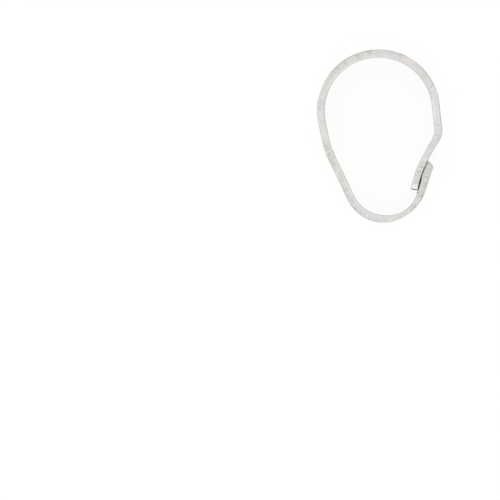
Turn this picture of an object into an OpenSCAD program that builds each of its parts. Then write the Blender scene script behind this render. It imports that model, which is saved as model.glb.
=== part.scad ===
// Snap-closing pendant bail: one tapered silver strip bent into an egg-shaped loop.
// The bends are worked out in the loop's own plane: X points to the rear, where the two ends lap,
// Y points to the crown and Z runs across the strip. The finished loop is then laid on its side.
// Headings are in degrees from +X; travel starts at the inner end, climbs the rear, passes over
// the crown, comes down the front, rounds the foot and ends at the outer leaf's tip.

/* [Loop] */
// Bend radius of the crown, to the middle of the strip
crown_r = 5.75; // [4.6:0.05:7.2]
// Bend radius of the foot, to the middle of the strip
foot_r = 3.8; // [2.8:0.05:4.8]
// Lean of the front just below the crown, degrees from upright
front_lean = 11.5; // [6:0.5:16]
// Depth of the cheek, the slight bend in the front, below the crown's centre
cheek_drop = 3.75; // [2.6:0.05:5]
// Bend radius of the cheek
cheek_r = 8.3; // [4:0.1:12]
// Lean of the rear just below the crown, degrees from upright
rear_lean = 6.5; // [2:0.5:12]
// Depth of the shoulder, the bend above the lap, below the crown's centre
shoulder_drop = 2.3; // [1.2:0.05:3.2]
// Bend radius of the shoulder
shoulder_r = 2; // [1:0.05:3]

/* [Lap] */
// Lean of the neck, the straight run below the shoulder, degrees from upright
neck_lean = 29.7; // [22:0.1:36]
// Length of the neck, from the shoulder's corner down to the inner leaf
neck_l = 2.75; // [2:0.05:4]
// Length of the inner leaf
inner_leaf_l = 3.4; // [2.6:0.05:4.4]
// Bend radius of the inner leaf, which is hollow to the outside
hollow_r = 9.5; // [7:0.1:13]
// Length that the outer leaf covers of the inner one
lap_l = 3.1; // [2:0.05:3.8]
// Length of the outer leaf from the inner one's end down to the foot's bend
foot_run = 0.15; // [0.05:0.05:1.5]
// Clearance between the two leaves where they come closest
lap_gap = 0.06; // [0.03:0.01:0.2]
// Slant of the cut across the outer leaf's tip, degrees
tip_slant = 30; // [0:1:40]
// Share of the hollow between the leaves that the outer leaf's inner face swells into
leaf_swell = 0.9; // [0:0.05:1]
// Share of the lap, from its lower end, where that face is still flat
flat_share = 0.3; // [0:0.05:0.5]

/* [Strip] */
// Thickness of the strip at the crown and down the front
gauge = 0.8; // [0.5:0.01:1.1]
// Thickness of the inner leaf
inner_leaf_t = 0.68; // [0.4:0.01:0.9]
// Thickness of the outer leaf
outer_leaf_t = 0.72; // [0.4:0.01:0.9]
// Thickness where the foot is thinned to spring
spring_t = 0.52; // [0.35:0.01:0.7]
// Place of the thinnest section, degrees round the foot from its lowest point
spring_turn = 33; // [20:1:45]
// Length over which the strip thins on each side of that section
spring_run = 2.9; // [1:0.1:3]
// Radius on the strip's four long edges
edge_r = 0.1; // [0.03:0.01:0.16]

/* [Width] */
// Width of the strip at the top of the crown
crown_w = 5.4; // [4:0.1:8]
// Width of the strip level with the crown's centre, front and rear
level_w = 3.85; // [3:0.05:6]
// Width of the strip at the cheek
cheek_w = 3.15; // [2.6:0.05:4]
// Width of the strip at the bottom of the foot
foot_w = 2.2; // [1.5:0.05:3]
// Width of the inner leaf at its end
inner_w = 2.6; // [1.6:0.1:4]
// Width of the outer leaf at its tip
outer_w = 1.9; // [1.2:0.1:3]
// Length of the corners clipped off the inner leaf's end
clip_l = 0.5; // [0.2:0.05:0.8]
// Width that each clipped corner takes off
clip_w = 0.35; // [0.1:0.05:0.6]

/* [Hidden] */

// Fineness of the sweep: degrees and millimetres from one section to the next
TURN_STEP = 4;
RUN_STEP = 0.45;
// Lengths smaller than this count as nothing
TINY = 0.0001;
// Corners nearer than this to the line between two feet can't be the next foot
REACH_LEAST = 0.05;
// Headings where the strip passes the top of the crown and the bottom of the foot
AT_CROWN = 180;
AT_FOOT = 360;
// Share of the front's length, from the crown, at which the cheek's width is measured
CHEEK_SHARE = 0.6;
// Share of the rear's length, from the lap up to the crown, in which the strip thickens to its gauge
THICKEN_SHARE = 0.28;
// Share of the lap in which the outer leaf's inner face rises from flat to its swelling
SWELL_RISE = 0.25;

// Unit vectors along a heading and to the outer side of it
function ahead(h) = [cos(h), sin(h)];
function outward(h) = [sin(h), -cos(h)];
function heading_of(v) = atan2(v.y, v.x);

// Heading of the line from point p that touches a circle of radius r lying on its left
function touch_heading(p, c, r) = heading_of(c - p) - asin(r / norm(c - p));

// A bend is [centre, signed radius, heading in, heading out]; a bend to the right has a radius < 0.
// The bend that rounds a corner between two headings:
function corner_bend(corner, h_in, h_out, r) =
    let (signed_r = h_out < h_in ? -r : r)
    let (start = corner - signed_r * tan((h_out - h_in) / 2) * ahead(h_in))
    [start - signed_r * outward(h_in), signed_r, h_in, h_out];

// The shoulder's corner lies on the rear line, which touches the crown
rear_h = 90 + rear_lean;
rear_touch = crown_r * outward(rear_h);
shoulder_corner = rear_touch - (shoulder_drop + rear_touch.y) / sin(rear_h) * ahead(rear_h);

// The neck runs down into the inner leaf, one bend whose centre lies on the outer side
neck_h = 90 - neck_lean;
hollow_c = shoulder_corner - neck_l * ahead(neck_h) + hollow_r * outward(neck_h);
inner_end_h = neck_h + inner_leaf_l / hollow_r * 180 / PI;
lap_end_h = inner_end_h - lap_l / hollow_r * 180 / PI;

// The outer leaf is straight and lies a clearance off the inner leaf at its end and at the tip
leaf_low = hollow_c - (hollow_r - inner_leaf_t / 2) * outward(inner_end_h);
leaf_top = hollow_c - (hollow_r - inner_leaf_t / 2) * outward(lap_end_h);
leaf_h = heading_of(leaf_top - leaf_low);
leaf_mid_line = (lap_gap + outer_leaf_t / 2) * outward(leaf_h);
leaf_tip = leaf_top + leaf_mid_line;

// The foot's bend starts below the lap, on the outer leaf's line
foot_c = leaf_low + leaf_mid_line - foot_run * ahead(leaf_h) - foot_r * outward(leaf_h);

// The cheek's corner lies on the front line, which touches the crown
front_h = 270 + front_lean;
front_touch = crown_r * outward(front_h);
cheek_corner = front_touch - (cheek_drop + front_touch.y) / sin(front_h) * ahead(front_h);
heel_h = 360 + touch_heading(cheek_corner, foot_c, foot_r);

bends = [
    [hollow_c, -hollow_r, inner_end_h, neck_h],
    corner_bend(shoulder_corner, neck_h, rear_h, shoulder_r),
    [[0, 0], crown_r, rear_h, AT_CROWN],
    [[0, 0], crown_r, AT_CROWN, front_h],
    corner_bend(cheek_corner, front_h, heel_h, cheek_r),
    [foot_c, foot_r, heel_h, AT_FOOT],
    [foot_c, foot_r, AT_FOOT, AT_FOOT + spring_turn],
    [foot_c, foot_r, AT_FOOT + spring_turn, AT_FOOT + leaf_h],
    [leaf_tip, 0, AT_FOOT + leaf_h, AT_FOOT + leaf_h]
];
// Rows of the table above at whose end the strip passes these places
TO_CROWN = 2;
TO_FOOT = 5;
TO_SPRING = 6;

// Places along the middle of the strip as [point, heading, length so far]
function on_bend(b, h) = b[0] + b[1] * outward(h);
function bend_length(b) = abs(b[1]) * abs(b[3] - b[2]) * PI / 180;
function gap_before(k) = k == 0 ? 0
    : norm(on_bend(bends[k], bends[k][2]) - on_bend(bends[k - 1], bends[k - 1][3]));
function length_to_end(k) = k < 0 ? 0 : length_to_end(k - 1) + gap_before(k) + bend_length(bends[k]);
function straight_places(k) =
    let (from = on_bend(bends[k - 1], bends[k - 1][3]))
    let (to = on_bend(bends[k], bends[k][2]))
    let (steps = ceil(norm(to - from) / RUN_STEP))
    [for (i = [1:1:steps - 1]) let (u = i / steps)
        [from + u * (to - from), bends[k][2], length_to_end(k - 1) + u * norm(to - from)]];
function bend_places(k) =
    let (b = bends[k], steps = max(1, ceil(abs(b[3] - b[2]) / TURN_STEP), ceil(bend_length(b) / RUN_STEP)))
    let (before = length_to_end(k - 1) + gap_before(k))
    [for (i = [0:steps]) let (u = i / steps)
        [on_bend(b, b[2] + u * (b[3] - b[2])), b[2] + u * (b[3] - b[2]), before + u * bend_length(b)]];
all_places = [for (k = [0:len(bends) - 1])
    each concat(k == 0 ? [] : straight_places(k), bend_places(k))];

strip_l = length_to_end(len(bends) - 1);
crown_at = length_to_end(TO_CROWN);
foot_at = length_to_end(TO_FOOT);
spring_at = length_to_end(TO_SPRING);

// The clipped corners end at a section of their own, and no two sections share a place
clip_place = [on_bend(bends[0], inner_end_h - clip_l / hollow_r * 180 / PI),
    inner_end_h - clip_l / hollow_r * 180 / PI, clip_l];
places = [for (i = [0:len(all_places) - 1])
    let (p = all_places[i], last = i == 0 ? -1 : all_places[i - 1][2])
    each concat(last < clip_l && p[2] >= clip_l ? [clip_place] : [],
        p[2] - last > TINY && abs(p[2] - clip_l) > TINY ? [p] : [])];

// Width and thickness of the strip at length s from the inner end
quarter_crown = crown_r * PI / 2;
function width_at(s) = lookup(s, [
    [0, inner_w - 2 * clip_w],
    [clip_l, lookup(clip_l, [[0, inner_w], [crown_at - quarter_crown, level_w]])],
    [crown_at - quarter_crown, level_w],
    [crown_at, crown_w],
    [crown_at + quarter_crown, level_w],
    [crown_at + CHEEK_SHARE * (foot_at - crown_at), cheek_w],
    [foot_at, foot_w],
    [strip_l, outer_w]
]);
function held(u) = min(1, max(0, u));
function ease(u) = u * u * (3 - 2 * u);
function blend(s, from, to, a, b) = a + (b - a) * ease(held((s - from) / (to - from)));
function thickness_at(s) =
    s < crown_at ? blend(s, lap_l, lap_l + THICKEN_SHARE * (crown_at - lap_l), inner_leaf_t, gauge)
    : s < spring_at ? blend(s, spring_at - spring_run, spring_at, gauge, spring_t)
    : blend(s, spring_at, spring_at + spring_run, spring_t, outer_leaf_t);

// The outer leaf's inner face swells towards the inner leaf, whose outer face is an arc over the lap
lap_chord = norm(leaf_top - leaf_low);
hollow_face_r = hollow_r - inner_leaf_t / 2;
hollow_depth = hollow_face_r - sqrt(pow(hollow_face_r, 2) - pow(lap_chord / 2, 2));
function swell_at(s) =
    let (u = held(1 - (strip_l - s) / lap_chord))
    leaf_swell * hollow_depth * 4 * u * (1 - u) * ease(held((u - flat_share) / SWELL_RISE));

// The strip's section, as [towards the outer face, across the width], each long edge rounded
function section(half_t, half_w) = [for (quarter = [0:3], turn = [0:45:90])
    let (a = 90 * quarter + turn)
    let (side = [quarter == 0 || quarter == 3 ? 1 : -1, quarter < 2 ? 1 : -1])
    [side[0] * (half_t - edge_r) + edge_r * cos(a), side[1] * (half_w - edge_r) + edge_r * sin(a)]];

// One ring of the sweep; slant turns the ring out of square, as the cut across the tip is
function ring(place, slant) =
    [for (q = section(thickness_at(place[2]) / 2, width_at(place[2]) / 2))
        let (through = q[0] < 0 ? q[0] - swell_at(place[2]) : q[0])
        let (flat = place[0] + through * outward(place[1]) - through * tan(slant) * ahead(place[1]))
        [flat.x, flat.y, q[1]]];
rings = [for (i = [0:len(places) - 1]) ring(places[i], i == len(places) - 1 ? tip_slant : 0)];
loop_points = [for (r = rings) each r];

// Walls between rings, then the two cut ends
RING_N = len(rings[0]);
loop_faces = concat(
    [for (i = [0:len(rings) - 2], j = [0:RING_N - 1]) let (next = (j + 1) % RING_N)
        [i * RING_N + j, i * RING_N + next, (i + 1) * RING_N + next, (i + 1) * RING_N + j]],
    [[for (j = [RING_N - 1:-1:0]) j]],
    [[for (j = [0:RING_N - 1]) (len(rings) - 1) * RING_N + j]]);

// Centre of mass of the strip in the loop's plane, each stretch weighed by its section
stretch_weights = [for (i = [0:len(places) - 2]) let (s = (places[i][2] + places[i + 1][2]) / 2)
    width_at(s) * thickness_at(s) * (places[i + 1][2] - places[i][2])];
function total(v, i = 0) = i == len(v) ? 0 * v[0] : v[i] + total(v, i + 1);
mass_centre = total([for (i = [0:len(places) - 2])
    stretch_weights[i] * (places[i][0] + places[i + 1][0]) / 2]) / total(stretch_weights);

// How the loop comes to rest on its side. It stands on its lowest corner, tips towards its centre of
// mass until a second corner touches, then rolls about the line through those two until the next one
// does, and so on until its centre of mass lies over the triangle of its three feet. A tilt is the
// floor's rise for each millimetre along X and Y, as seen from the loop.
function in_plane(v) = [v.x, v.y];
function first_least(items, keys) =
    let (least = min(keys)) [for (i = [0:len(keys) - 1]) if (keys[i] == least) items[i]][0];
lowest_z = min([for (v = loop_points) v.z]);
lowest_corners = [for (v = loop_points) if (v.z < lowest_z + TINY) v];
first_foot = first_least(lowest_corners, [for (v = lowest_corners) norm(in_plane(v) - mass_centre)]);
to_mass = mass_centre - in_plane(first_foot);

function reach(v, way) = (in_plane(v) - in_plane(first_foot)) * way;
function height_over(v, tilt) = v.z - first_foot.z - reach(v, tilt);
function within_reach(way) = [for (v = loop_points) if (reach(v, way) > REACH_LEAST) v];
function rises(tilt, way) = [for (v = within_reach(way)) height_over(v, tilt) / reach(v, way)];
function settled_tilt(tilt, foot) =
    let (along = in_plane(foot - first_foot), square = [along.y, -along.x] / norm(along))
    let (way = square * sign(square * to_mass), rise = rises(tilt, way))
    let (next_foot = first_least(within_reach(way), rise), new_tilt = tilt + min(rise) * way)
    let (next_along = in_plane(next_foot - first_foot))
    sign(cross(next_along, to_mass)) == sign(cross(next_along, along)) ? new_tilt
    : settled_tilt(new_tilt, next_foot);

mass_way = to_mass / norm(to_mass);
first_rise = rises([0, 0], mass_way);
rest_tilt = settled_tilt(min(first_rise) * mass_way, first_least(within_reach(mass_way), first_rise));

// The floor under the three feet is made level, and the origin goes to the middle of the base
up = [-rest_tilt.x, -rest_tilt.y, 1] / norm([rest_tilt.x, rest_tilt.y, 1]);
lay_down = [
    [1 - up.x * up.x / (1 + up.z), -up.x * up.y / (1 + up.z), -up.x],
    [-up.x * up.y / (1 + up.z), 1 - up.y * up.y / (1 + up.z), -up.y],
    up
];
lying = [for (v = loop_points) lay_down * v];
low = [for (k = [0:2]) min([for (v = lying) v[k]])];
high = [for (k = [0:2]) max([for (v = lying) v[k]])];
base_middle = [(low.x + high.x) / 2, (low.y + high.y) / 2, low.z];

module bail_loop() {
    color("silver")
        polyhedron(points = [for (v = lying) v - base_middle], faces = loop_faces, convexity = 6);
}

bail_loop();
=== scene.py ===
"""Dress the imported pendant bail: a fine silver strip, its finishes, the studio and the camera."""

import logging
import math
from dataclasses import dataclass
from enum import Enum
from functools import cached_property

import bpy
import numpy as np
from mathutils import Matrix, Vector


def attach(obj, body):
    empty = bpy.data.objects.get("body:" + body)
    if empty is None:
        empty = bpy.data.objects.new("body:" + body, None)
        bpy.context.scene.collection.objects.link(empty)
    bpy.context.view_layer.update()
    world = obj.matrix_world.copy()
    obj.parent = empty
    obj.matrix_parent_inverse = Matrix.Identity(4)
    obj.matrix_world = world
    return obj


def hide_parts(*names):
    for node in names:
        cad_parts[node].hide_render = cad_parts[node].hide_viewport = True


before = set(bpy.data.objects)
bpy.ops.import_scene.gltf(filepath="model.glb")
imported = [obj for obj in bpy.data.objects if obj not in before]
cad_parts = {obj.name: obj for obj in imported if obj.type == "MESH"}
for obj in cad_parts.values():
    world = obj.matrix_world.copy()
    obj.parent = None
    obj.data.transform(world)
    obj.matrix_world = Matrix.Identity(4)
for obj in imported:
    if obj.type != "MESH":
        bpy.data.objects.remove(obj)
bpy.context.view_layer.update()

Array = np.ndarray
Socket = bpy.types.NodeSocket
Tree = bpy.types.NodeTree

LOG = logging.getLogger("bail")
METRES_PER_MM = 0.001
# Decimals of a millimetre to which the corners of the solid's triangles are merged
MERGE_DECIMALS = 5
# Headings, in degrees from the loop's X: up the rear, over the crown, down the front, along the foot
UP_REAR = 90.0
AT_CROWN = 180.0
DOWN_FRONT = 270.0
AT_FOOT = 360.0
# Which bend ends at the crown's top, at the foot's bottom and at the thinnest section
CROWN = 2
FOOT = 5
SPRING = 6
# The skin's map, and what the noises on it share
MAP_NAME = "strip_mm"
FLAT_NOISE = {"noise_dimensions": "2D"}
# A Mix node's settings, two inputs and output for numbers and for colours, whose sockets share names
NUMBER_MIX = ({}, "A", "B", 0)
COLOUR_MIX = ({"data_type": "RGBA"}, 6, 7, 2)


def ahead(heading: Array | float) -> Array:
    """Unit vector along a heading: the cosine and sine of its angle from X."""
    angle = np.radians(heading)
    return np.stack([np.cos(angle), np.sin(angle)], axis=-1)


def outward(heading: Array | float) -> Array:
    """Unit vector to the outer side of a heading: the heading turned a quarter turn clockwise."""
    angle = np.radians(heading)
    return np.stack([np.sin(angle), -np.cos(angle)], axis=-1)


def heading_of(vector: Array) -> float:
    """Angle of a vector from X, in degrees."""
    return math.degrees(math.atan2(vector[1], vector[0]))


def ease(share: Array) -> Array:
    """Smooth step from 0 to 1: the share is held between 0 and 1, then 3u² - 2u³."""
    held = np.clip(share, 0.0, 1.0)
    return held * held * (3.0 - 2.0 * held)


def bell(count: int) -> Array:
    """Weights that add up to 1 and rise and fall as one wave of a cosine, without its zero ends."""
    weights = np.hanning(count + 2)[1:-1]
    return weights / weights.sum()


def wander(along: Array, spacing: float, seed: int) -> Array:
    """Wander smoothly between -1 and 1: seeded random knots a spacing apart, joined by smooth steps.

    Args:
        along: Lengths along the strip, none below zero.
        spacing: Length from knot to knot.
        seed: Seed of the knots, the same in every run.

    Returns:
        Values of the same shape.
    """
    knots = np.random.default_rng(seed).uniform(-1, 1, math.ceil(along.max() / spacing) + 2)
    cell = np.floor(along / spacing).astype(int)
    return knots[cell] + (knots[cell + 1] - knots[cell]) * ease(along / spacing - cell)


def linear_rgba(code: str) -> tuple[float, float, float, float]:
    """Turn an sRGB hex colour into the linear values that a shader socket takes.

    Args:
        code: Six hex digits after a hash, such as "#f2efe9".

    Returns:
        Linear red, green and blue, by the sRGB standard's curve, and an alpha of 1.
    """
    shares = [int(code[at:at + 2], 16) / 255 for at in (1, 3, 5)]
    red, green, blue = (c / 12.92 if c <= 0.04045 else ((c + 0.055) / 1.055) ** 2.4 for c in shares)
    return red, green, blue, 1.0


class Mark(Enum):
    """What was done to the skin, each laid over those before it.

    The mesh holds each as a share from 0 to 1 at every point. INSIDE is the broad face towards the
    opening, FILED the narrow edges, WEAR_AND_HIGHLIGHT their half towards the opening, RIM their long
    corners, LAPPED the faces that meet in the lap, with the skin close to them, CUT the two ends, and
    END_SHADOW the sides of the inner end, with a spot on the outer leaf just below it. WEAR_AND_HIGHLIGHT
    is a painted highlight all along and wear round the foot; RIM, LAPPED and CUT are painted darker as
    shade, and END_SHADOW is a painted shadow, near black.
    """

    INSIDE = "inside"
    FILED = "filed"
    # A painted highlight on the half of the edges by the opening, with wear round the foot.
    WEAR_AND_HIGHLIGHT = "wear_and_highlight"
    # A painted line of shade along the long corners.
    RIM = "rim"
    # Painted shade between the two leaves, over a rubbed finish.
    LAPPED = "lapped"
    # The two ends, painted darker as shade.
    CUT = "cut"
    # A painted shadow, near black, on the inner end's sides and on the outer leaf just below it.
    END_SHADOW = "end_shadow"


@dataclass(frozen=True)
class Bend:
    """An arc of the strip's middle line, run from one heading to another.

    Attributes:
        centre: Centre of the arc, in millimetres in the loop's plane.
        radius: Its radius, below zero where the strip bends to the right.
        start_h: Heading where the arc starts, in degrees.
        end_h: Heading where it ends.
    """

    centre: Array
    radius: float
    start_h: float
    end_h: float

    @classmethod
    def rounding(cls, corner: Array, start_h: float, end_h: float, radius: float) -> "Bend":
        """Make the arc that rounds a corner between two straight runs.

        The arc starts a tangent length, radius times the tangent of half the turn, before the corner.

        Args:
            corner: The point where the two runs would meet.
            start_h: Heading of the first run.
            end_h: Heading of the second run.
            radius: Radius of the arc, above zero.

        Returns:
            The bend.
        """
        signed = -radius if end_h < start_h else radius
        start = corner - signed * math.tan(math.radians((end_h - start_h) / 2)) * ahead(start_h)
        return cls(start - signed * outward(start_h), signed, start_h, end_h)

    def point(self, heading: Array | float) -> Array:
        """The point of the arc where it has this heading."""
        return self.centre + self.radius * outward(heading)

    @property
    def length(self) -> float:
        """Length of the arc: its radius times its turn."""
        return abs(self.radius) * math.radians(abs(self.end_h - self.start_h))


@dataclass(frozen=True)
class StripRoute:
    """The middle line of the strip in the loop's own plane, in millimetres and degrees.

    X points to the rear, where the two ends lap, and Y to the crown. The line starts at the inner
    leaf's end, climbs the rear, crosses the crown, rounds the foot and ends at the outer leaf's tip.
    """

    crown_r: float = 5.75
    foot_r: float = 3.8
    front_lean: float = 11.5
    cheek_drop: float = 3.75
    cheek_r: float = 8.3
    rear_lean: float = 6.5
    shoulder_drop: float = 2.3
    shoulder_r: float = 2.0
    neck_lean: float = 29.7
    neck_l: float = 2.75
    inner_leaf_l: float = 3.4
    hollow_r: float = 9.5
    lap_l: float = 3.1
    foot_run: float = 0.15
    lap_gap: float = 0.06
    inner_leaf_t: float = 0.68
    outer_leaf_t: float = 0.72
    spring_turn: float = 33.0

    @cached_property
    def bends(self) -> list[Bend]:
        """Work out the bends, which straight runs join.

        Returns:
            The bends in order; the last has no radius and marks the tip.
        """
        rear_h = UP_REAR + self.rear_lean
        shoulder = self._corner_on_crown(rear_h, self.shoulder_drop)
        neck_h = UP_REAR - self.neck_lean
        hollow_c = shoulder - self.neck_l * ahead(neck_h) + self.hollow_r * outward(neck_h)
        inner_end_h = neck_h + math.degrees(self.inner_leaf_l / self.hollow_r)
        lap_end_h = inner_end_h - math.degrees(self.lap_l / self.hollow_r)
        leaf_low = hollow_c - self._face_r * outward(inner_end_h)
        leaf_top = hollow_c - self._face_r * outward(lap_end_h)
        leaf_h = heading_of(leaf_top - leaf_low)
        to_mid_line = (self.lap_gap + self.outer_leaf_t / 2) * outward(leaf_h)
        tip = leaf_top + to_mid_line
        foot_c = leaf_low + to_mid_line - self.foot_run * ahead(leaf_h) - self.foot_r * outward(leaf_h)
        front_h = DOWN_FRONT + self.front_lean
        cheek = self._corner_on_crown(front_h, self.cheek_drop)
        away = foot_c - cheek
        heel_h = AT_FOOT + heading_of(away) - math.degrees(math.asin(self.foot_r / np.hypot(*away)))
        spring_h = AT_FOOT + self.spring_turn
        end_h = AT_FOOT + leaf_h
        crown_c = np.zeros(2)
        return [
            Bend(hollow_c, -self.hollow_r, inner_end_h, neck_h),
            Bend.rounding(shoulder, neck_h, rear_h, self.shoulder_r),
            Bend(crown_c, self.crown_r, rear_h, AT_CROWN),
            Bend(crown_c, self.crown_r, AT_CROWN, front_h),
            Bend.rounding(cheek, front_h, heel_h, self.cheek_r),
            Bend(foot_c, self.foot_r, heel_h, AT_FOOT),
            Bend(foot_c, self.foot_r, AT_FOOT, spring_h),
            Bend(foot_c, self.foot_r, spring_h, end_h),
            Bend(tip, 0.0, end_h, end_h),
        ]

    def _corner_on_crown(self, heading: float, drop: float) -> Array:
        """The point of the line that touches the crown with this heading, at a depth below its centre."""
        touch = self.crown_r * outward(heading)
        return touch - (drop + touch[1]) / math.sin(math.radians(heading)) * ahead(heading)

    @property
    def _face_r(self) -> float:
        """Radius of the inner leaf's outer face."""
        return self.hollow_r - self.inner_leaf_t / 2

    @property
    def lap_chord(self) -> float:
        """Straight length of the lap, along the inner leaf's outer face."""
        return 2 * self._face_r * math.sin(self.lap_l / self.hollow_r / 2)

    @property
    def hollow_depth(self) -> float:
        """Depth of the hollow behind a straight outer leaf: the rise of that face over the lap's chord."""
        return self._face_r - math.sqrt(self._face_r ** 2 - (self.lap_chord / 2) ** 2)

    @cached_property
    def spans(self) -> list[tuple[float, float]]:
        """Add up the bends and the straight runs between them.

        Returns:
            The lengths along the strip where each bend starts and ends.
        """
        spans: list[tuple[float, float]] = []
        end = self.bends[0].point(self.bends[0].start_h)
        run = 0.0
        for bend in self.bends:
            start = run + float(np.hypot(*(bend.point(bend.start_h) - end)))
            run = start + bend.length
            spans.append((start, run))
            end = bend.point(bend.end_h)
        return spans

    @property
    def length(self) -> float:
        """Length of the whole strip."""
        return self.spans[-1][1]

    def to(self, bend: int) -> float:
        """Length from the inner end to the end of a bend."""
        return self.spans[bend][1]

    def places(self, along: Array) -> tuple[Array, Array, Array]:
        """Find the middle line's points, headings and bending at lengths along the strip.

        Headings are interpolated between the bends' ends, and so are points on a straight run. A point
        on a bend is centre + radius × outward(heading), and its bending is one over the radius.

        Args:
            along: Lengths from the inner end, in millimetres.

        Returns:
            Points of shape (n, 2), headings of shape (n,) and bending of shape (n,), 1/mm.
        """
        knots = np.ravel(self.spans)
        ends = [(bend, h) for bend in self.bends for h in (bend.start_h, bend.end_h)]
        heading = np.interp(along, knots, [h for _, h in ends])
        knot_points = np.array([bend.point(h) for bend, h in ends])
        point = np.stack([np.interp(along, knots, values) for values in knot_points.T], axis=-1)
        bending = np.zeros_like(along)
        for bend, (start, end) in zip(self.bends, self.spans):
            if bend.radius:
                on_bend = (along >= start) & (along <= end)
                point[on_bend] = bend.point(heading[on_bend])
                bending[on_bend] = 1 / bend.radius
        return point, heading, bending


@dataclass(frozen=True)
class StripStock:
    """The flat strip before it is bent: its widths and thicknesses along its length, in millimetres."""

    gauge: float = 0.8
    spring_t: float = 0.52
    spring_run: float = 2.9
    thicken_share: float = 0.28
    crown_w: float = 5.4
    level_w: float = 3.85
    cheek_w: float = 3.15
    cheek_share: float = 0.6
    foot_w: float = 2.2
    inner_w: float = 2.6
    outer_w: float = 1.9
    clip_l: float = 0.5
    clip_w: float = 0.35
    blend_l: float = 0.9

    BLEND_SAMPLES = 15

    def width(self, along: Array, route: StripRoute) -> Array:
        """Work out the strip's width.

        Straight lines join the named widths, blended by a mean over blend_l to either side, and a
        straight line of its own clips the inner end.

        Args:
            along: Lengths from the inner end.
            route: The route that says where the crown, cheek and foot are.

        Returns:
            Widths of the same shape.
        """
        crown, foot = route.to(CROWN), route.to(FOOT)
        quarter = route.crown_r * math.pi / 2
        cheek = crown + self.cheek_share * (foot - crown)
        stations = [0, crown - quarter, crown, crown + quarter, cheek, foot, route.length]
        widths = [self.inner_w, self.level_w, self.crown_w, self.level_w, self.cheek_w, self.foot_w,
                  self.outer_w]
        shifts = np.linspace(-self.blend_l, self.blend_l, self.BLEND_SAMPLES)
        nearby = np.interp(along[..., None] + shifts, stations, widths)
        clipped = self.inner_w - 2 * self.clip_w * (1 - along / self.clip_l)
        return np.minimum(nearby @ bell(self.BLEND_SAMPLES), clipped)

    def thickness(self, along: Array, route: StripRoute) -> Array:
        """Work out the thickness: smooth steps from leaf to gauge, to the spring, to the other leaf.

        Args:
            along: Lengths from the inner end.
            route: The route that says where the crown and the thinnest section are.

        Returns:
            Thicknesses of the same shape.
        """
        thicken_l = self.thicken_share * (route.to(CROWN) - route.lap_l)
        past_spring = (along - route.to(SPRING)) / self.spring_run
        return (route.inner_leaf_t
                + (self.gauge - route.inner_leaf_t) * ease((along - route.lap_l) / thicken_l)
                + (self.spring_t - self.gauge) * ease(past_spring + 1)
                + (route.outer_leaf_t - self.spring_t) * ease(past_spring))


@dataclass(frozen=True)
class SectionOutline:
    """Points round the strip's section, as shares that any width and thickness can take.

    Attributes:
        face_n: Steps across each broad face.
        edge_n: Steps across each narrow edge.
        corner_n: Steps round each corner.
    """

    face_n: int = 22
    edge_n: int = 10
    corner_n: int = 6

    @cached_property
    def sides(self) -> tuple[Array, Array]:
        """Where each point sits on the square core and which way the corner's round turns it.

        The outline starts on the lower edge, by the inner face. Each point is a place on the core,
        from -1 to 1 through the strip and across it, and a unit direction in which the corner radius
        is laid off. A side's places are its direction plus shares of the one ahead; a corner's place
        is their sum, and its directions turn a quarter turn.

        Returns:
            The core places and the directions, each of shape (m, 2).
        """
        places: list[Array] = []
        turns: list[Array] = []
        for heading, steps in ((0, self.edge_n), (90, self.face_n), (180, self.edge_n), (270, self.face_n)):
            side, onward = np.round(outward(heading)), np.round(ahead(heading))
            shares = np.linspace(-1, 1, steps + 1)[1:-1, None]
            arc = outward(heading + np.linspace(0, 90, self.corner_n + 1))
            places += [side + shares * onward, np.broadcast_to(side + onward, arc.shape)]
            turns += [np.broadcast_to(side, (len(shares), 2)), arc]
        return np.concatenate(places), np.concatenate(turns)


@dataclass(frozen=True)
class LyingPose:
    """How the loop lies on its side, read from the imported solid.

    Attributes:
        turn: Rotation from the loop's axes to the frame's.
        shift: Place of the loop's origin, the crown's centre, in the frame, in millimetres.
    """

    turn: Array
    shift: Array

    @classmethod
    def of_node(cls, node: bpy.types.Object, loop_points: Array) -> "LyingPose":
        """Find the pose from a node's vertices.

        The loop mirrors itself about its middle plane, so the plane's normal is a principal direction
        of its vertices. The rotation is the shortest one from the loop's Z to that normal, and the
        shift lays the middle of the loop's box on that of the node's, both unturned.

        Args:
            node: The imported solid.
            loop_points: The same loop's points in its own axes, in millimetres.

        Returns:
            The pose.
        """
        flat = np.empty(len(node.data.vertices) * 3)
        node.data.vertices.foreach_get("co", flat)
        solid = np.unique(np.round(flat.reshape(-1, 3) / METRES_PER_MM, MERGE_DECIMALS), axis=0)
        directions = np.linalg.eigh(np.cov(solid.T))[1].T
        axis = max(directions, key=lambda way: abs(way[2]))
        axis = axis * np.sign(axis[2])
        x, y, z = -axis[0], -axis[1], axis[2]
        turn = np.array([
            [1 - x * x / (1 + z), -x * y / (1 + z), -x],
            [-x * y / (1 + z), 1 - y * y / (1 + z), -y],
            [x, y, z],
        ])
        middle, own_middle = ((points.min(axis=0) + points.max(axis=0)) / 2
                              for points in (solid @ turn, loop_points))
        return cls(turn, turn @ (middle - own_middle))

    def to_frame(self, points: Array) -> Array:
        """Turn and move points from the loop's axes into the frame, in millimetres."""
        return points @ self.turn.T + self.shift


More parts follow.
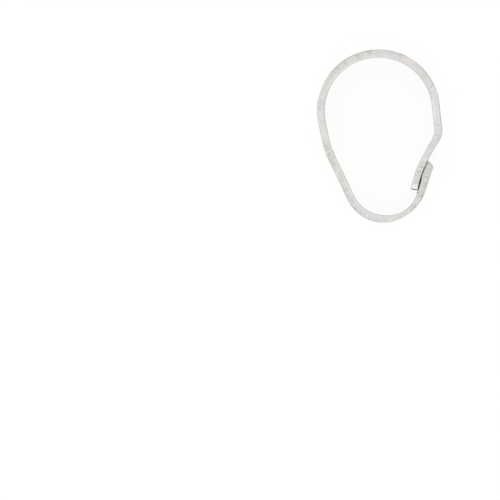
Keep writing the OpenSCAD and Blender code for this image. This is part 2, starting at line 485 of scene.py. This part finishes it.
@dataclass(frozen=True)
class BailLoop:
    """The bail: one tapered strip of sterling silver, bent into a loop whose ends lap and snap shut.

    Attributes:
        route: The bent middle line.
        stock: The strip's widths and thicknesses.
        outline: Points round its section.
        edge_r: Radius on the long edges, from filing and buffing.
        end_r: Radius on the rims of the two cut ends.
        tip_slant: Slant of the cut across the outer leaf's tip, in degrees.
        slant_run: Length in which it fades into square sections.
        edge_uneven: Share by which edge_r wanders along each edge.
        face_crown: Drop of the broad faces from their middle to their sides, left by the buff.
        face_roll: Further drop by the sides, where the buff rolls over.
        edge_crown: Drop of the narrow edges from their middle to their corners.
        edge_tilt: Slope of the file's tilt in the narrow edges, now one way and now the other.
        curl_share: Share of a bend's curvature that turns up across the strip, as in any bent sheet.
        wave: Height of the slight waves that bending by hand leaves in the broad faces.
        twist: Height by which each side of the strip wanders against the other.
        leaf_swell: Share of the hollow between the leaves that the outer leaf swells into.
        flat_share: Share of the lap, from its lower end, where its inner face is still flat.
        swell_rise: Share of the lap in which that face rises to its swelling.
        kiss: Gap left between the leaves at the middle of their width, where they rub.
        ring_step: Length from one section to the next.
    """

    route: StripRoute = StripRoute()
    stock: StripStock = StripStock()
    outline: SectionOutline = SectionOutline()
    edge_r: float = 0.12
    end_r: float = 0.09
    tip_slant: float = 30.0
    slant_run: float = 0.9
    edge_uneven: float = 0.22
    face_crown: float = 0.015
    face_roll: float = 0.02
    edge_crown: float = 0.012
    edge_tilt: float = 0.04
    curl_share: float = 0.05
    wave: float = 0.008
    twist: float = 0.012
    leaf_swell: float = 0.9
    flat_share: float = 0.3
    swell_rise: float = 0.25
    kiss: float = 0.006
    ring_step: float = 0.09

    # Sections in the rounding and in the cap of each end, and the smallest radius left at a corner
    END_RINGS = 5
    CAP_RINGS = 4
    LEAST_R = 0.004
    # The skin's unevenness: its power by the sides, its lengths in millimetres, its random seeds
    ROLL_POWER = 10
    CURL_BLUR = 0.8
    CORNER_PATCH = 0.9
    CORNER_SEEDS = (11, 12, 13, 14)
    TILT_PATCH = 1.6
    TILT_SEEDS = (21, 22)
    WAVE_PATCHES = (2.6, 1.9, 1.9)
    WAVE_SEEDS = (31, 32, 33)
    # Length over which the meeting faces, and the filing at the clip, fade; share of the corners' radius
    # that is left where the leaves meet
    FADE_L = 0.3
    LAP_SHARP = 0.5
    # The marks' shares, and their lengths in millimetres
    FILED_FROM = 0.35
    FILED_RUN = 0.5
    INNER_RIM = 0.5
    LAP_FADE = 0.7
    TIP_DULL = 0.45
    TIP_FADE = 2.2
    TIP_CUT = 0.45
    # Where the painted shadow on the inner end's sides begins, and the place and length of the painted
    # notch shadow below the lap
    END_SHADOW_FROM = 0.3
    NOTCH_SHADOW_BELOW = 0.08
    NOTCH_SHADOW_L = 0.13
    # Reach of the wear and painted highlight across the edge, its least share, a painted highlight all
    # along, and the stretch round the foot where it is wear
    WEAR_AND_HIGHLIGHT_REACH = 0.8
    HIGHLIGHT_LEAST = 0.35
    WORN_BEFORE_FOOT = 7.5
    WORN_PAST_FOOT = 4.2
    WORN_FADE = 1.8

    @cached_property
    def rings(self) -> tuple[Array, Array, Array]:
        """Where the sections are, and how far each is drawn in.

        Towards each end the sections follow a quarter circle of end_r: at an angle a they stand
        end_r (1 - cos a) from the end and are drawn in by end_r (1 - sin a). Behind them the cap is
        the last section shrunk to its middle, in steps that are shorter by the rim.

        Returns:
            Columns of one value a section: its length from the inner end, its drawing in, and the
            share that is left of its size.
        """
        angle = np.linspace(0, math.pi / 2, self.END_RINGS + 1)
        depth = self.end_r * (1 - np.cos(angle))
        inset = self.end_r * (1 - np.sin(angle))
        count = round((self.route.length - 2 * self.end_r) / self.ring_step)
        middle = np.linspace(self.end_r, self.route.length - self.end_r, count)[1:-1]
        cap = 1 - np.linspace(1, 0, self.CAP_RINGS + 1)[:-1] ** 2
        from_end = np.pad(depth, (len(cap), 0))
        drawn_in = np.pad(inset, (len(cap), 0), constant_values=self.end_r)
        shrunk = np.hstack([cap, np.ones_like(depth)])
        return (
            np.hstack([from_end, middle, self.route.length - from_end[::-1]])[:, None],
            np.hstack([drawn_in, np.zeros_like(middle), drawn_in[::-1]])[:, None],
            np.hstack([shrunk, np.ones_like(middle), shrunk[::-1]])[:, None],
        )

    @cached_property
    def grid(self) -> Array:
        """Lay off the skin's points in the loop's axes.

        Each section is a rounded rectangle: core place × (half size - radius) + radius × direction.
        Its broad faces drop by crown × share² + roll × share^10, its narrow edges by their own crown ×
        share² and by the file's tilt × the distance through. The broad faces then take half the
        curl × the square of the distance across, and the hand's waves. In the lap the outer leaf's
        inner half is padded towards the inner leaf. The section is laid off from the middle line,
        and near the tip it is sheared along the strip by the slant.

        Returns:
            Points of shape (sections, points round, 3), in millimetres.
        """
        along, inset, shrink = self.rings
        core, turn = self.outline.sides
        half_t = self.stock.thickness(along, self.route) / 2 - inset
        half_w = self.stock.width(along, self.route) / 2 - inset
        radius = np.maximum(self._corner_radii(core, along) - inset, self.LEAST_R)
        through = core[:, 0] * (half_t - radius) + turn[:, 0] * radius
        across = core[:, 1] * (half_w - radius) + turn[:, 1] * radius
        share_t, share_w = through / half_t, across / half_w
        by_sides = np.abs(share_w) ** self.ROLL_POWER
        drop = (self.face_crown * share_w ** 2 + self.face_roll * by_sides) * (1 - self._meets(core, along))
        tilt = np.where(core[:, 1] > 0, *(wander(along, self.TILT_PATCH, seed) for seed in self.TILT_SEEDS))
        across = (across - self.edge_crown * share_w * share_t ** 2
                  + self.edge_tilt * tilt * through * by_sides) * shrink
        through = (through - drop * share_t) * shrink
        point, heading, bending = self.route.places(along[:, 0])
        lift = self._curl(bending)[:, None] * across ** 2 / 2 + self._waves(along, share_w)
        through = through + lift * self._clear_of_lap(along)
        through = through - self._padding(along, share_w) * (core[:, 0] < 0) * shrink
        near_tip = ease(1 - (self.route.length - along) / self.slant_run)
        slant = math.tan(math.radians(self.tip_slant)) * near_tip
        flat = (point[:, None, :] + through[..., None] * outward(heading)[:, None, :]
                - (through * slant)[..., None] * ahead(heading)[:, None, :])
        return np.concatenate([flat, across[..., None]], axis=-1)

    def _corner_radii(self, core: Array, along: Array) -> Array:
        """Radius of the nearest long corner, by its place on the core.

        It is edge_r × (1 + edge_uneven × a wander of its own), and LAP_SHARP of that where leaves meet.

        Args:
            core: Core places of the points round the section.
            along: Lengths from the inner end, as a column.

        Returns:
            Radii, one for each section and point, in millimetres.
        """
        corner = (core[:, 0] > 0) * 2 + (core[:, 1] > 0)
        own = np.hstack([wander(along, self.CORNER_PATCH, seed) for seed in self.CORNER_SEEDS])
        uneven = self.edge_r * (1 + self.edge_uneven * own[:, corner])
        return uneven * (1 - (1 - self.LAP_SHARP) * self._meets(core, along))

    def _in_lap(self, along: Array, fade: float) -> tuple[Array, ...]:
        """1 where the inner and where the outer leaf is in the lap, fading to 0 over a length beyond it."""
        from_ends = (along, self.route.length - along)
        return tuple(ease((self.route.lap_l - from_end) / fade + 1) for from_end in from_ends)

    def _meets(self, core: Array, along: Array) -> Array:
        """1 in the lap on the half of each leaf that faces the other leaf."""
        inner_leaf, outer_leaf = self._in_lap(along, self.FADE_L)
        return inner_leaf * (core[:, 0] > 0) + outer_leaf * (core[:, 0] < 0)

    def _curl(self, bending: Array) -> Array:
        """Curl across the strip: curl_share times the bending, blurred over CURL_BLUR along it."""
        reach = round(self.CURL_BLUR / self.ring_step)
        return self.curl_share * np.convolve(np.pad(bending, reach, "edge"), bell(2 * reach + 1), "valid")

    def _waves(self, along: Array, share: Array) -> Array:
        """The hand's waves: a wander along the strip, and one for each side, times its share squared."""
        whole, near, far = (wander(along, *way) for way in zip(self.WAVE_PATCHES, self.WAVE_SEEDS))
        return self.wave * whole + self.twist * np.where(share > 0, near, far) * share ** 2

    def _padding(self, along: Array, share: Array) -> Array:
        """Padding of the outer leaf's inner face towards the inner leaf.

        The hollow's depth is 4u(1 - u) of its deepest, u being the share of the lap. The face swells by
        leaf_swell of it, past flat_share of the lap. What is left of the gap closes from the sides to
        the middle, as 1 - share², where the leaves rub.

        Args:
            along: Lengths from the inner end.
            share: Places across the strip, from -1 to 1.

        Returns:
            Paddings of the same shape, in millimetres.
        """
        lapped = np.clip(1 - (self.route.length - along) / self.route.lap_chord, 0, 1)
        hollow = self.route.hollow_depth * 4 * lapped * (1 - lapped)
        swell = self.leaf_swell * hollow * ease((lapped - self.flat_share) / self.swell_rise)
        left = self.route.lap_gap + hollow - swell - self.kiss
        return (swell + left * (1 - share ** 2)) * self._in_lap(along, self.FADE_L)[1]

    def _clear_of_lap(self, along: Array) -> Array:
        """1 away from the lap and 0 in it, so that the two leaves keep their gap."""
        return ease(along / self.route.lap_l - 1) * ease((self.route.length - along) / self.route.lap_l - 1)

    @cached_property
    def marks(self) -> dict[Mark, Array]:
        """Work out each mark's share at every point of the skin.

        The filed share rises with the sideways part of the corner's direction, over FILED_RUN from
        FILED_FROM. The share of wear and painted highlight rises from the middle of the edge to the corner
        by the opening: to HIGHLIGHT_LEAST all along, as a painted highlight, and in full round the foot, as
        wear where the pendant's ring rubs. The rim share, a painted line of shade, is twice the product of
        the direction's two parts, INNER_RIM of it by the opening. The lap's share, painted shade, fades
        over
        LAP_FADE beyond it, and the outer leaf's whole tip takes TIP_DULL of it, fading over TIP_FADE. The
        tip's cut was dressed with the file, so it keeps TIP_CUT of the cut ends' share, which is painted
        shade. The painted notch shadow is a bell curve of NOTCH_SHADOW_L on the outer leaf's inner corner,
        NOTCH_SHADOW_BELOW the lap.

        Returns:
            The shares, each of shape (sections, points round).
        """
        along, inset, shrink = self.rings
        core, turn = self.outline.sides
        sideways = np.abs(turn[:, 1])
        inner = np.clip(-turn[:, 0], 0, 1)
        near_start, near_tip = self._in_lap(along, self.LAP_FADE)
        dull_tip = self.TIP_DULL * ease((along - self.route.length) / self.TIP_FADE + 1)
        at_inner_end = along < self.route.lap_l
        rounded = (inset > 0) & (shrink == 1)
        # Place and length of a painted notch shadow on the outer leaf's inner corner, below the lap.
        notch_shadow_at = self.route.length - self.route.lap_l - self.NOTCH_SHADOW_BELOW
        notch_shadow = np.exp(-(((along - notch_shadow_at) / self.NOTCH_SHADOW_L) ** 2))
        end_shadow = ease((sideways - self.END_SHADOW_FROM) / (1 - self.END_SHADOW_FROM))
        past_foot = along - self.route.to(FOOT)
        rubbed = (ease((self.WORN_BEFORE_FOOT + past_foot) / self.WORN_FADE)
                  * ease((self.WORN_PAST_FOOT - past_foot) / self.WORN_FADE))
        # The least share is a painted highlight all along; round the foot it rises to full, as wear.
        wear_and_highlight = self.HIGHLIGHT_LEAST + (1 - self.HIGHLIGHT_LEAST) * rubbed
        filed = ease((sideways - self.FILED_FROM) / self.FILED_RUN)
        rim = ease(2 * sideways * np.abs(turn[:, 0]))
        shares = {
            Mark.INSIDE: ease(inner),
            Mark.FILED: filed * ease((along - self.stock.clip_l) / self.FADE_L + 1),
            Mark.WEAR_AND_HIGHLIGHT: wear_and_highlight * sideways * ease(1 - self.WEAR_AND_HIGHLIGHT_REACH * (core[:, 0] + 1)),
            # Rim share: where the darker tint paints a line of shade along the corners.
            Mark.RIM: rim * np.where(turn[:, 0] < 0, self.INNER_RIM, 1.0),
            # Lap share: painted shade where the leaves hide each other, and over the outer leaf's tip.
            Mark.LAPPED: np.maximum(near_start * np.clip(turn[:, 0], 0, 1) + near_tip * inner, dull_tip),
            # Cut share: the ends, which the cut tints paint darker as shade.
            Mark.CUT: (inset > 0) * np.where(at_inner_end, 1.0, self.TIP_CUT),
            # Painted shadow on the inner end's sides, and a painted notch shadow on the outer leaf just
            # below the lap.
            Mark.END_SHADOW: rounded * at_inner_end * end_shadow + notch_shadow * ease(2 * sideways * inner),
        }
        shape = (len(along), len(turn))
        return {mark: np.broadcast_to(share, shape) for mark, share in shares.items()}

    @cached_property
    def chart(self) -> Array:
        """Measure the skin's map: U along the strip, V round its section from the outer face's middle.

        Each section ends with its first point again, for a clean seam.

        Returns:
            Places in millimetres of shape (sections - 2, points round + 1, 2), without the two poles.
        """
        closed = np.concatenate([self.grid, self.grid[:, :1]], axis=1)
        steps = np.linalg.norm(np.diff(closed, axis=1), axis=-1)
        around = np.pad(np.cumsum(steps, axis=1), ((0, 0), (1, 0)))
        core, turn = self.outline.sides
        middle = int(np.argmin(np.abs(core[:, 1]) + (turn[:, 0] < 1)))
        around -= around[:, middle:middle + 1]
        return np.stack([np.broadcast_to(self.rings[0], around.shape), around], axis=-1)[1:-1]

    def build(self, name: str, pose: LyingPose) -> bpy.types.Object:
        """Make the skin's mesh, with its marks and its map, and its object.

        Quads wound outwards join the sections; the first and the last, shrunk to a point, become one
        pole each, closed by triangles. Each corner of a face is a section and a place round it, which
        give its vertex and its place on the map alike.

        Args:
            name: Name of the piece.
            pose: How the loop lies.

        Returns:
            The object, at the origin, with its place in its mesh.
        """
        grid = pose.to_frame(self.grid) * METRES_PER_MM
        points = np.concatenate([grid[1:-1].reshape(-1, 3), grid[[0, -1]].mean(axis=1)])
        row_n, round_n = grid.shape[0] - 2, grid.shape[1]
        row, col = np.indices((row_n - 1, round_n)).reshape(2, -1)
        first, last, place = np.zeros(round_n, dtype=int), np.full(round_n, row_n - 1), np.arange(round_n)
        blocks = (
            np.stack([(row, col), (row + 1, col), (row + 1, col + 1), (row, col + 1)], axis=-1),
            np.stack([(first, place), (first, place + 1), (first, place)], axis=-1),
            np.stack([(last, place + 1), (last, place), (last, place)], axis=-1),
        )
        quads, low_fan, high_fan = (rows * round_n + cols % round_n for rows, cols in blocks)
        low_fan[:, -1] = row_n * round_n
        high_fan[:, -1] = row_n * round_n + 1
        mesh = bpy.data.meshes.new(name)
        mesh.from_pydata(points.tolist(), [], quads.tolist() + low_fan.tolist() + high_fan.tolist())
        mesh.shade_smooth()
        for mark, values in self.marks.items():
            shares = np.concatenate([values[1:-1].ravel(), values[[0, -1]].mean(axis=1)])
            layer = mesh.attributes.new(mark.value, "FLOAT", "POINT")
            layer.data.foreach_set("value", shares.astype(np.float32))
        corners = np.concatenate([self.chart[rows, cols].reshape(-1, 2) for rows, cols in blocks])
        mesh.uv_layers.new(name=MAP_NAME).uv.foreach_set("vector", corners.astype(np.float32).ravel())
        mesh.update()
        loop = bpy.data.objects.new(name, mesh)
        bpy.context.scene.collection.objects.link(loop)
        return loop


def add_node(tree: Tree, kind: str, settings: dict | None = None,
             inputs: dict | None = None, out: int | str = 0) -> Socket | None:
    """Add a node with its settings, input values and links.

    Args:
        tree: The tree that takes the node.
        kind: Blender's name for the node's type, after its "ShaderNode".
        settings: Attributes of the node, such as operation.
        inputs: For each socket, by name or number, a value or the output that feeds it.
        out: Number or name of the output to return.

    Returns:
        That output of the node, or nothing where a node has none.
    """
    node = tree.nodes.new("ShaderNode" + kind)
    for name, value in (settings or {}).items():
        setattr(node, name, value)
    for socket, value in (inputs or {}).items():
        if isinstance(value, Socket):
            tree.links.new(value, node.inputs[socket])
        else:
            node.inputs[socket].default_value = value
    return node.outputs[out] if node.outputs else None


def lay_over(tree: Tree, share: Socket, below: dict, above: dict) -> dict:
    """Lay one finish over another, by the share of the surface that it covers.

    Args:
        tree: The material's tree.
        share: The share, from 0 to 1.
        below: What the lower finish has of "colour", "roughness" and "height", as values or outputs.
        above: What the upper finish has of them.

    Returns:
        The same of the whole.
    """
    whole = dict(below)
    for part, value in above.items():
        settings, low, high, out = COLOUR_MIX if part == "colour" else NUMBER_MIX
        whole[part] = add_node(tree, "Mix", settings, {"Factor": share, low: below[part], high: value}, out)
    return whole


@dataclass(frozen=True)
class ToolMarks:
    """Fine marks that a tool left, drawn as noise stretched along them.

    Attributes:
        along: Size of the marks along the strip, in millimetres.
        across: Their size round the section.
        turn: Turn of the marks from square to the strip, in degrees.
        depth: Depth of the marks, in millimetres.
        dulling: Change of roughness from the tops of the marks to their bottoms.
        shade: Share of the colour that the bottoms lose, to the thin tarnish that stays in them.
    """

    along: float
    across: float
    turn: float
    depth: float
    dulling: float
    shade: float

    DETAIL = 2.0

    def grain(self, tree: Tree, chart: Socket) -> Socket:
        """Add the noise that draws the marks.

        Args:
            tree: The material's tree.
            chart: The map in millimetres.

        Returns:
            The noise, about 0.3 at the bottoms of the marks and 0.7 at their tops.
        """
        turned = add_node(tree, "Mapping", {"vector_type": "TEXTURE"}, {
            "Vector": chart, "Rotation": (0.0, 0.0, math.radians(self.turn)),
            "Scale": (self.along, self.across, 1.0)})
        return add_node(tree, "TexNoise", FLAT_NOISE, {
            "Vector": turned, "Scale": 1.0, "Detail": self.DETAIL})


@dataclass(frozen=True)
class SilverFinish:
    """One way in which a part of the silver was finished.

    Attributes:
        tint: Colour of the bare metal.
        mottle: Colour of its patches, from handling and thin tarnish.
        patch: Distance from patch to patch, in millimetres.
        roughness: Roughness midway between the tops and bottoms of the marks.
        marks: The tool's marks, strong in some zones.
        lines: The polishing lines that show between those zones.
        zone: Distance from zone to zone.
        nicks: Radius of small burnished nicks, in millimetres, or 0 where there are none. They fade
            out at twice that.
    """

    tint: str
    mottle: str
    patch: float
    roughness: float
    marks: ToolMarks
    lines: ToolMarks = ToolMarks(4.0, 0.14, 0.0, 0.0003, 0.03, 0.05)
    zone: float = 2.5
    nicks: float = 0.0

    PATCH_NOISE = {"Detail": 2.0, "Roughness": 0.45}
    ZONE_NOISE = {"Detail": 1.0}
    # Values of the noises that are taken as their two ends
    PATCH_EDGES = (0.40, 0.60)
    ZONE_EDGES = (0.38, 0.58)
    GRAIN_EDGES = (0.3, 0.7)
    NICK_GAP = 4.0
    NICK = {"colour": linear_rgba("#fdfcfa"), "roughness": 0.12}

    def dress(self, tree: Tree, chart: Socket) -> dict[str, Socket]:
        """Add the finish's nodes: patches of two tints, marks that dull and darken, and bright nicks.

        Args:
            tree: The material's tree.
            chart: The map in millimetres, U along the strip and V round its section.

        Returns:
            The outputs for "colour", "roughness" and "height", the last in millimetres.
        """
        patches, zones = (
            add_node(tree, "TexNoise", FLAT_NOISE, {"Vector": chart, "Scale": 1 / size, **noise})
            for size, noise in ((self.patch, self.PATCH_NOISE), (self.zone, self.ZONE_NOISE)))
        grain, lines = (marks.grain(tree, chart) for marks in (self.marks, self.lines))
        half = self.marks.dulling / 2
        ranges = (
            (patches, self.PATCH_EDGES, (0.0, 1.0)),
            (zones, self.ZONE_EDGES, (0.0, 1.0)),
            (grain, self.GRAIN_EDGES, (1 - self.marks.shade, 1.0)),
            (lines, self.GRAIN_EDGES, (1 - self.lines.shade, 1.0)),
            (grain, self.GRAIN_EDGES, (self.roughness + half, self.roughness - half)),
        )
        spread, worked, across, lengthwise, roughness = (
            add_node(tree, "MapRange", {}, {"Value": source, "From Min": low, "From Max": high,
                                            "To Min": at_low, "To Max": at_high})
            for source, (low, high), (at_low, at_high) in ranges)
        bare, patched = ({"colour": linear_rgba(code)} for code in (self.tint, self.mottle))
        metal = lay_over(tree, spread, bare, patched)["colour"]
        kept = add_node(tree, "Mix", {}, {"Factor": worked, "A": lengthwise, "B": across})
        made = {
            "colour": add_node(tree, "VectorMath", {"operation": "SCALE"}, {0: metal, "Scale": kept}),
            "roughness": roughness,
            "height": add_node(tree, "Math", {"operation": "MULTIPLY"}, {0: grain, 1: self.marks.depth}),
        }
        if self.nicks:
            from_nick = add_node(tree, "TexVoronoi", {"voronoi_dimensions": "2D"}, {
                "Vector": chart, "Scale": 1 / self.NICK_GAP})
            rim = self.nicks / self.NICK_GAP
            in_nick = add_node(tree, "MapRange", {}, {
                "Value": from_nick, "From Min": rim * 2, "From Max": rim})
            made = lay_over(tree, in_nick, made, self.NICK)
        return made


@dataclass(frozen=True)
class SterlingSilver:
    """Sterling silver strip, rolled, filed to its taper, bent, and polished on its broad faces.

    Real polishing lines and file strokes are too fine for a picture, so they are drawn a few times
    coarser. Each finish but the first has its Mark's name.

    Attributes:
        polished: The outer face, buffed lengthwise: a mirror with faint lines along the strip.
        inside: The inner face, which the buff reaches less: duller, with the lines of the mandrel.
        filed: The narrow edges: satin, with short slanting file strokes and a grey mottle.
        wear_and_highlight: The half of those edges by the opening: a painted highlight all along, and
            burnished round the foot by what hangs and slides in it.
        rim: The long corners, painted darker as a fine grey line of shade.
        lapped: The faces that rub in the lap, dull, and painted darker as shade where the leaves hide each
            other.
        cut: The two ends, snipped and left rough, and painted dark as shade.
        end_shadow: The sides of the inner end, and a spot on the outer leaf just below it, painted near
            black as shadow.
    """

    polished: SilverFinish = SilverFinish(
        "#f8f3ee", "#f3eee9", 3.0, 0.07, ToolMarks(6.0, 0.10, 0.0, 0.0003, 0.03, 0.02))
    inside: SilverFinish = SilverFinish(
        "#f0eee9", "#e9e6e0", 2.6, 0.16, ToolMarks(1.8, 0.14, 4.0, 0.0010, 0.05, 0.06))
    filed: SilverFinish = SilverFinish(
        "#fcf8f8", "#f6f5f0", 9.0, 0.34, ToolMarks(0.25, 1.1, 20.0, 0.010, 0.16, 0.30),
        ToolMarks(3.5, 0.20, 0.0, 0.0003, 0.03, 0.16), nicks=0.06)
    # Brighter and smoother: a painted highlight on the half of the edges by the opening, and wear round the
    # foot.
    wear_and_highlight: SilverFinish = SilverFinish(
        "#fffdfb", "#fcfbf8", 3.0, 0.24, ToolMarks(0.4, 0.8, 20.0, 0.004, 0.08, 0.10))
    # The rim tints are darker than the edges': a painted line of shade along the long corners.
    rim: SilverFinish = SilverFinish(
        "#e3e0dd", "#d5d3ce", 0.9, 0.28, ToolMarks(0.35, 0.3, 0.0, 0.002, 0.1, 0.3))
    # The lapped tints are darker: painted shade between the leaves and over the outer leaf's tip; its
    # roughness is the rubbed finish.
    lapped: SilverFinish = SilverFinish(
        "#efede5", "#d1cfc3", 0.8, 0.36, ToolMarks(0.5, 0.3, 30.0, 0.003, 0.1, 0.2))
    # The dark grey cut tints are painted shade on the two ends; their roughness is the snipped finish.
    cut: SilverFinish = SilverFinish(
        "#9d9991", "#89857d", 0.5, 0.40, ToolMarks(0.2, 0.12, 10.0, 0.004, 0.1, 0.1))
    # Near black: painted shadow on the sides of the inner end and on a spot of the outer leaf below it.
    end_shadow: SilverFinish = SilverFinish(
        "#44423f", "#363431", 0.5, 0.45, ToolMarks(0.2, 0.12, 10.0, 0.004, 0.1, 0.1))

    def material(self) -> bpy.types.Material:
        """Build the material: the polished finish, with each other one laid over it by its mark.

        Returns:
            The material.
        """
        silver = bpy.data.materials.new("polished_sterling_silver")
        silver.use_nodes = True
        tree = silver.node_tree
        tree.nodes.clear()
        chart = add_node(tree, "UVMap", {"uv_map": MAP_NAME})
        made = self.polished.dress(tree, chart)
        for mark in Mark:
            share = add_node(tree, "Attribute", {"attribute_name": mark.value}, out="Fac")
            made = lay_over(tree, share, made, getattr(self, mark.value).dress(tree, chart))
        bump = add_node(tree, "Bump", {}, {"Height": made["height"], "Distance": METRES_PER_MM})
        surface = add_node(tree, "BsdfPrincipled", {}, {
            "Base Color": made["colour"], "Roughness": made["roughness"], "Normal": bump, "Metallic": 1.0})
        add_node(tree, "OutputMaterial", {}, {"Surface": surface})
        return silver


@dataclass(frozen=True)
class Studio:
    """A pale light table in plain soft light.

    Attributes:
        table_half: Half the width of the table, in metres.
        table_tint: Colour of its sheet.
        table_roughness: Roughness of the sheet, which is matt.
        table_glow: Light that comes up through it.
        levels: Brightness of the soft light at elevations from straight down to straight up, in degrees.
        banks: Share of that light at azimuths round the table, in degrees from X.
    """

    table_half: float = 0.9
    table_tint: str = "#767675"
    table_roughness: float = 0.9
    table_glow: float = 0.86
    levels: tuple[tuple[float, float], ...] = (
        (-90, 0.95), (-50, 1.1), (-28, 1.35), (-6, 1.42), (-1.5, 1.2), (2, 1.2), (7, 1.4), (22, 1.4),
        (50, 1.15), (75, 1.02), (90, 0.98))
    banks: tuple[tuple[float, float], ...] = (
        (0, 0.64), (60, 0.70), (122, 0.65), (128, 0.60), (130.5, 0.36), (134, 0.36), (136, 0.55),
        (150, 0.76), (168, 0.98), (205, 1.0), (210, 0.93), (214, 0.62), (219, 0.62), (235, 0.82),
        (250, 0.93), (300, 0.97), (324, 0.97), (331, 0.70), (333, 0.45), (336, 0.45), (338, 0.60),
        (360, 0.64))

    def build(self) -> None:
        """Make the table and the light, and show colours as they are."""
        scene = bpy.context.scene
        scene.view_settings.view_transform = "Standard"
        scene.world = self._light()
        table = self._table()
        scene.collection.objects.link(table)

    def _table(self) -> bpy.types.Object:
        """Make the table, which the metal's reflections pass through to the light below.

        Returns:
            The table.
        """
        half = self.table_half
        corners = [(-half, -half, 0), (half, -half, 0), (half, half, 0), (-half, half, 0)]
        mesh = bpy.data.meshes.new("light_table")
        mesh.from_pydata(corners, [], [(0, 1, 2, 3)])
        sheet = bpy.data.materials.new("opal_acrylic_sheet")
        sheet.use_nodes = True
        shader = sheet.node_tree.nodes["Principled BSDF"]
        for socket, value in {
            "Base Color": linear_rgba(self.table_tint),
            "Roughness": self.table_roughness,
            "Specular IOR Level": 0.0,
            "Emission Color": linear_rgba("#ffffff"),
            "Emission Strength": self.table_glow,
        }.items():
            shader.inputs[socket].default_value = value
        mesh.materials.append(sheet)
        table = bpy.data.objects.new("light_table", mesh)
        table.visible_glossy = False
        return table

    def _light(self) -> bpy.types.World:
        """Make the light: a level for each elevation, times a share for each azimuth.

        Both are ramps of greys. The share counts in full at the horizon and not at all overhead: its
        drop from 1 is multiplied by (1 - z²)², where z is the sine of the elevation.

        Returns:
            The world.
        """
        world = bpy.data.worlds.new("soft_banks")
        world.use_nodes = True
        tree = world.node_tree
        tree.nodes.clear()
        way = add_node(tree, "TexCoord", out="Generated")
        x = add_node(tree, "SeparateXYZ", {}, {"Vector": way})
        y, z = x.node.outputs["Y"], x.node.outputs["Z"]
        rise = add_node(tree, "MapRange", {}, {"Value": z, "From Min": -1.0})
        azimuth = add_node(tree, "Math", {"operation": "ARCTAN2"}, {0: y, 1: x})
        turns = add_node(tree, "Math", {"operation": "DIVIDE"}, {0: azimuth, 1: 2 * math.pi})
        around = add_node(tree, "Math", {"operation": "FRACT"}, {0: turns})
        peak = max(level for _, level in self.levels)
        heights = [((math.sin(math.radians(angle)) + 1) / 2, level / peak) for angle, level in self.levels]
        azimuths = [(angle / 360, share) for angle, share in self.banks]
        ramps: list[Socket] = []
        for share, stops in ((rise, heights), (around, azimuths)):
            ramp = add_node(tree, "ValToRGB", {}, {"Fac": share})
            elements = ramp.node.color_ramp.elements
            elements[0].position = stops[0][0]
            elements[1].position = stops[-1][0]
            for place, _ in stops[1:-1]:
                elements.new(place)
            for element, (_, grey) in zip(elements, stops):
                element.color = (grey, grey, grey, 1.0)
            ramps.append(ramp)
        square = add_node(tree, "Math", {"operation": "MULTIPLY"}, {0: z, 1: z})
        low = add_node(tree, "Math", {"operation": "SUBTRACT"}, {0: 1.0, 1: square})
        weight = add_node(tree, "Math", {"operation": "POWER"}, {0: low, 1: 2.0})
        kept = add_node(tree, "Mix", {}, {"Factor": weight, "A": 1.0, "B": ramps[1]})
        strength = add_node(tree, "Math", {"operation": "MULTIPLY"}, {0: ramps[0], 1: kept})
        scaled = add_node(tree, "Math", {"operation": "MULTIPLY"}, {0: strength, 1: peak})
        light = add_node(tree, "Background", {}, {"Strength": scaled})
        add_node(tree, "OutputWorld", {}, {"Surface": light})
        return world


@dataclass(frozen=True)
class PhotoCamera:
    """The camera, straight above the loop's own plane as in the photograph's side view.

    Attributes:
        lens: Focal length, in millimetres.
        sensor: Width of the sensor, in millimetres.
        seen_w: Width that the picture covers at the strip's near edge, in millimetres.
        near_edge: Height of that edge above the loop's middle plane, on average, in millimetres.
        picture_px: Width of the picture.
        crown_px: Place of the crown's centre in the picture.
        clip: Nearest and farthest distance that it sees, in metres.
    """

    lens: float = 1200.0
    sensor: float = 36.0
    seen_w: float = 50.0
    near_edge: float = 1.7
    picture_px: float = 500.0
    crown_px: tuple[float, float] = (378.55, 111.0)
    clip: tuple[float, float] = (0.01, 5.0)

    def build(self, pose: LyingPose) -> None:
        """Make the camera; it looks along the loop's axis, with the loop's Y upwards.

        Args:
            pose: How the loop lies.
        """
        px = self.seen_w / self.picture_px
        middle = self.picture_px / 2
        right = (middle - self.crown_px[0]) * px
        up = (self.crown_px[1] - middle) * px
        height = self.near_edge + self.lens * self.seen_w / self.sensor
        place = pose.to_frame(np.array([right, up, height])) * METRES_PER_MM
        data = bpy.data.cameras.new("photo_camera")
        data.lens = self.lens
        data.sensor_width = self.sensor
        data.clip_start, data.clip_end = self.clip
        camera = bpy.data.objects.new("photo_camera", data)
        camera.matrix_world = Matrix.LocRotScale(Vector(place), Matrix(pose.turn.tolist()), None)
        bpy.context.scene.collection.objects.link(camera)
        bpy.context.scene.camera = camera


def main() -> None:
    """Build the bail, its finishes, the studio and the camera, and report each piece."""
    logging.basicConfig(level=logging.INFO, format="%(name)s: %(message)s")
    bail = BailLoop()
    pose = LyingPose.of_node(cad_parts["bail_loop"], bail.grid.reshape(-1, 3))
    PhotoCamera().build(pose)
    loop = bail.build("bail_strip", pose)
    loop.data.materials.append(SterlingSilver().material())
    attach(loop, "root")
    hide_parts("bail_loop")
    LOG.info("%s: %d vertices, %d faces", loop.name, len(loop.data.vertices), len(loop.data.polygons))
    Studio().build()


if __name__ == "__main__":
    main()
